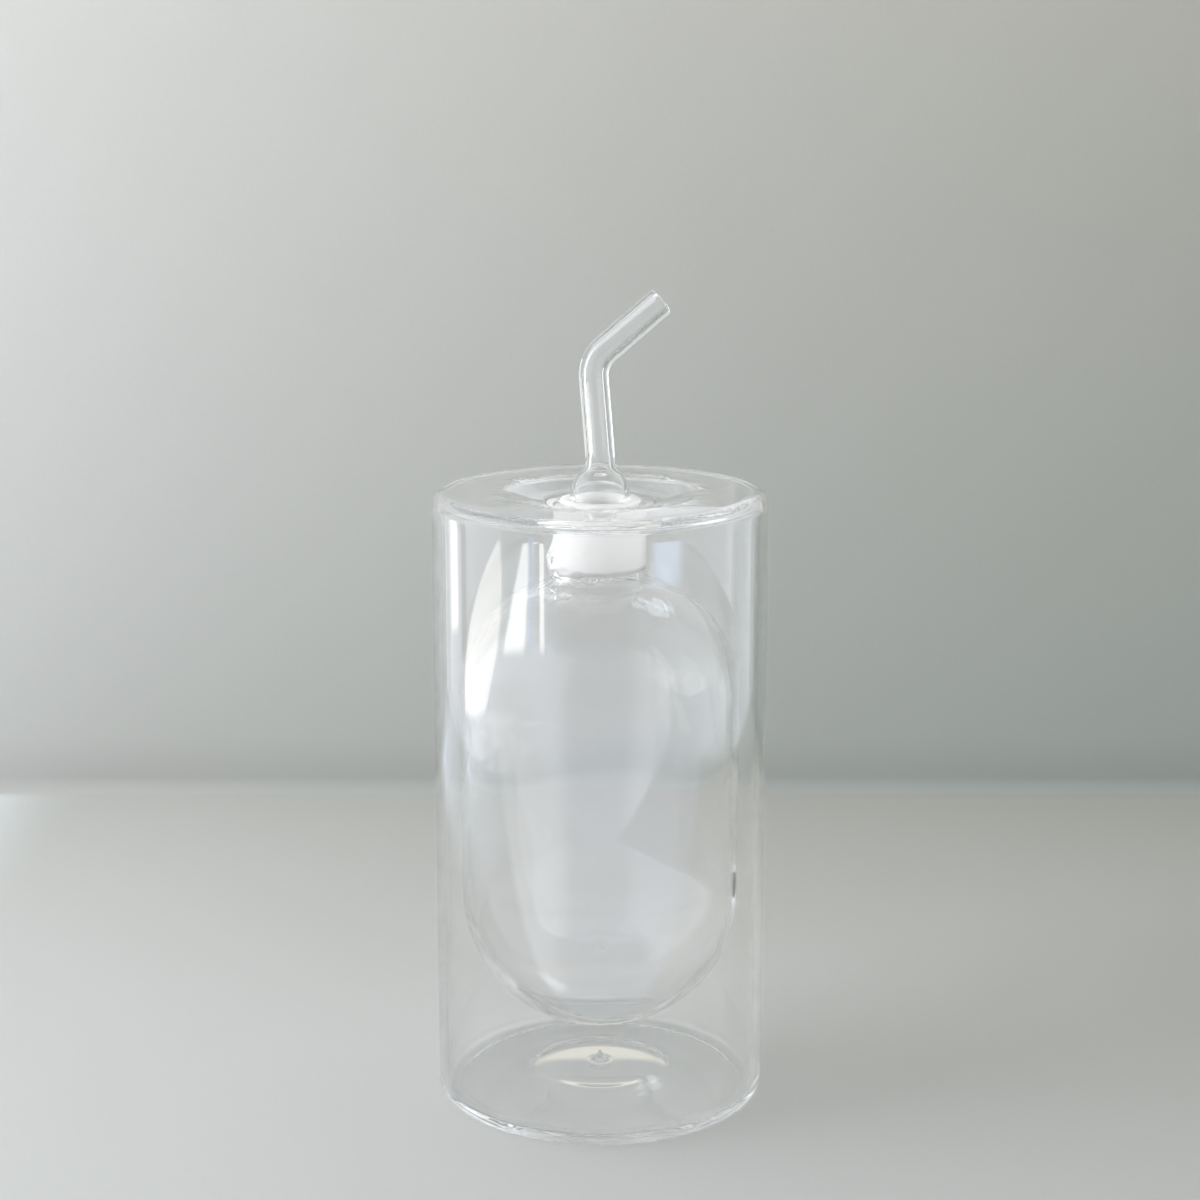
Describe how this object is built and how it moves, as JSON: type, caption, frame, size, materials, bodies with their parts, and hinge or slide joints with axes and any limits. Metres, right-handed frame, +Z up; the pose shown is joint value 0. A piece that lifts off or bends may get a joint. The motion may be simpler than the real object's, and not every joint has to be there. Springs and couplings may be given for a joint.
{
  "type": "double-walled glass oil cruet",
  "caption": "Double-walled glass oil cruet: a clear cylinder holding an inner oil vessel, with a frosted stopper that carries a bent glass pouring spout.",
  "frame": {"origin": "centre of the flat ring that the cruet stands on", "axes": "+Z up along the glass cylinder's axis, +X the way the spout pours at rest, +Y completes the right-handed frame"},
  "size_m": [0.08, 0.08, 0.1978],
  "materials": {
    "clear_glass": "clear, fire-polished borosilicate glass",
    "spout_glass": "clear, fire-polished borosilicate glass tube",
    "frosted_silicone": "translucent white, matt"
  },
  "bodies": {
    "bottle": {"jacket_tube": "clear_glass", "base_plate": "clear_glass", "vent_seal": "clear_glass", "top_plate": "clear_glass", "neck_socket": "clear_glass", "inner_vessel": "clear_glass"},
    "stopper": {"stopper_plug": "frosted_silicone"},
    "spout": {"spout_bulb": "spout_glass", "spout_tube": "spout_glass"}
  },
  "joints": [
    {"name": "stopper_lift", "type": "slide", "parent": "bottle", "child": "stopper", "axis": [0, 0, 1], "range_m": [0, 0.04]},
    {"name": "spout_turn", "type": "hinge", "parent": "stopper", "child": "spout", "pos_m": [0, 0, 0.149], "axis": [0, 0, 1], "continuous": true}
  ]
}
